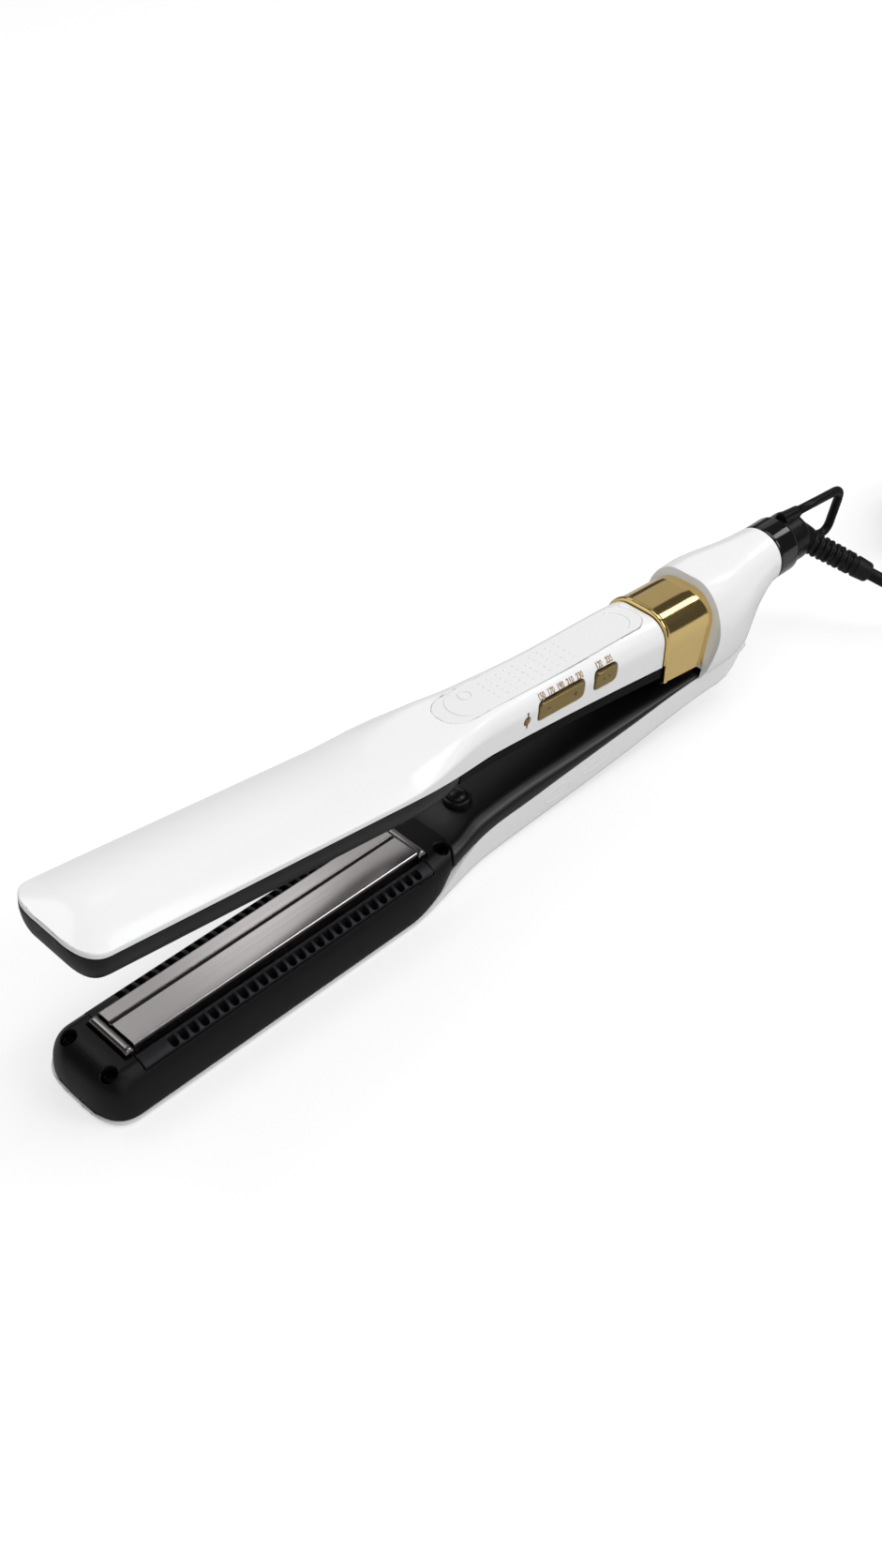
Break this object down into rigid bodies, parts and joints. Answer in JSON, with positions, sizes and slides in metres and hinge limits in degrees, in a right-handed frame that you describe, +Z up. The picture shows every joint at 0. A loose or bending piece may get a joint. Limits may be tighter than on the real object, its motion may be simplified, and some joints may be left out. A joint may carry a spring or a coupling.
{
  "type": "hair straightener",
  "caption": "Hinged hair straightener with floating flat hot plates, slotted vent strips, side keys, a gold hinge band, a hanging loop and a swivel mains cord.",
  "frame": {"origin": "middle of the tool's length and width on the ground, measured without the cord", "axes": "+X from the tip to the cord outlet, +Y away from the keys, +Z up; the lower arm lies on the ground and the arms stand open"},
  "size_m": [0.4481, 0.0669, 0.0689],
  "materials": {
    "white_gloss": "glossy white moulding",
    "white_satin": "satin white panel",
    "black_moulding": "satin black heat-proof moulding",
    "black_comb": "matt black moulding",
    "black_gloss": "polished black",
    "black_rubber": "matt black",
    "plate_metal": "coated, satin polish",
    "gold_metal": "polished gold anodising",
    "gold_key": "gold metallic coating",
    "steel": "bright",
    "heater_ceramic": null,
    "silicone": "matt red silicone",
    "board": "green solder mask",
    "amber_lens": "clear amber"
  },
  "bodies": {
    "lower_arm": {"lower_outer_shell": "white_gloss", "lower_head_housing": "black_moulding", "lower_comb_near": "black_comb", "lower_comb_far": "black_comb", "lower_head_screw_1": "steel", "lower_head_screw_2": "steel", "lower_head_screw_3": "steel", "lower_head_screw_4": "steel", "lower_plate_cushion_front": "silicone", "lower_plate_cushion_rear": "silicone", "lower_inner_cover": "black_moulding", "bumper_collar": "black_moulding", "bumper": "black_rubber", "hinge_bracket": "steel", "hinge_pin": "steel", "hinge_spring": "steel", "tail_lower_shell": "white_gloss", "tail_upper_shell": "white_gloss", "swivel_collar": "black_gloss"},
    "lower_plate": {"lower_plate": "plate_metal", "lower_plate_clip_front": "plate_metal", "lower_plate_clip_rear": "plate_metal", "lower_plate_carrier": "heater_ceramic", "lower_heater": "heater_ceramic"},
    "upper_arm": {"upper_outer_shell": "white_gloss", "upper_head_housing": "black_moulding", "upper_comb_near": "black_comb", "upper_comb_far": "black_comb", "upper_head_screw_1": "steel", "upper_head_screw_2": "steel", "upper_head_screw_3": "steel", "upper_head_screw_4": "steel", "upper_plate_cushion_front": "silicone", "upper_plate_cushion_rear": "silicone", "upper_inner_cover": "black_moulding", "upper_hinge_knuckle": "black_moulding", "gold_band": "gold_metal", "grip_panel": "white_satin", "indicator_lens": "amber_lens", "control_board": "board", "key_switch_cooler": "black_moulding", "key_switch_hotter": "black_moulding", "key_switch_power": "black_moulding"},
    "upper_plate": {"upper_plate": "plate_metal", "upper_plate_clip_front": "plate_metal", "upper_plate_clip_rear": "plate_metal", "upper_plate_carrier": "heater_ceramic", "upper_heater": "heater_ceramic"},
    "temperature_key": {"temperature_key": "gold_key"},
    "power_key": {"power_key": "gold_key"},
    "cord_swivel": {"swivel_head": "black_rubber", "hanging_loop": "black_rubber", "strain_relief": "black_rubber", "cord_lead": "black_rubber", "cord_coil": "black_rubber", "cord_tie": "black_rubber", "plug_body": "black_rubber", "plug_pin_near": "steel", "plug_pin_far": "steel"}
  },
  "joints": [
    {"name": "arm_hinge", "type": "hinge", "parent": "lower_arm", "child": "upper_arm", "pos_m": [0.07784, 0, 0.02], "axis": [0, 1, 0], "range_deg": [-7.9, 0], "stiffness_Nm_per_rad": 0.9, "springref_deg": 22.92, "deforming": ["hinge_spring"]},
    {"name": "lower_plate_float", "type": "slide", "parent": "lower_arm", "child": "lower_plate", "axis": [0, 0, 1], "range_m": [-0.0008, 0], "stiffness_N_per_m": 6000, "springref_m": 0.0006, "deforming": ["lower_plate_cushion_front", "lower_plate_cushion_rear"]},
    {"name": "upper_plate_float", "type": "slide", "parent": "upper_arm", "child": "upper_plate", "axis": [0.1374, 0, 0.9905], "range_m": [0, 0.0008], "stiffness_N_per_m": 6000, "springref_m": -0.0006, "deforming": ["upper_plate_cushion_front", "upper_plate_cushion_rear"]},
    {"name": "temperature_rocker", "type": "hinge", "parent": "upper_arm", "child": "temperature_key", "pos_m": [0.00949, -0.009, 0.04473], "axis": [0.1374, 0, 0.9905], "range_deg": [-2.5, 2.5], "stiffness_Nm_per_rad": 0.5},
    {"name": "power_press", "type": "slide", "parent": "upper_arm", "child": "power_key", "axis": [0, 1, 0], "range_m": [0, 0.0008], "stiffness_N_per_m": 3000, "springref_m": -0.0003},
    {"name": "cord_turn", "type": "hinge", "parent": "lower_arm", "child": "cord_swivel", "pos_m": [0.12634, 0, 0.0387], "axis": [1, 0, 0], "continuous": true}
  ]
}
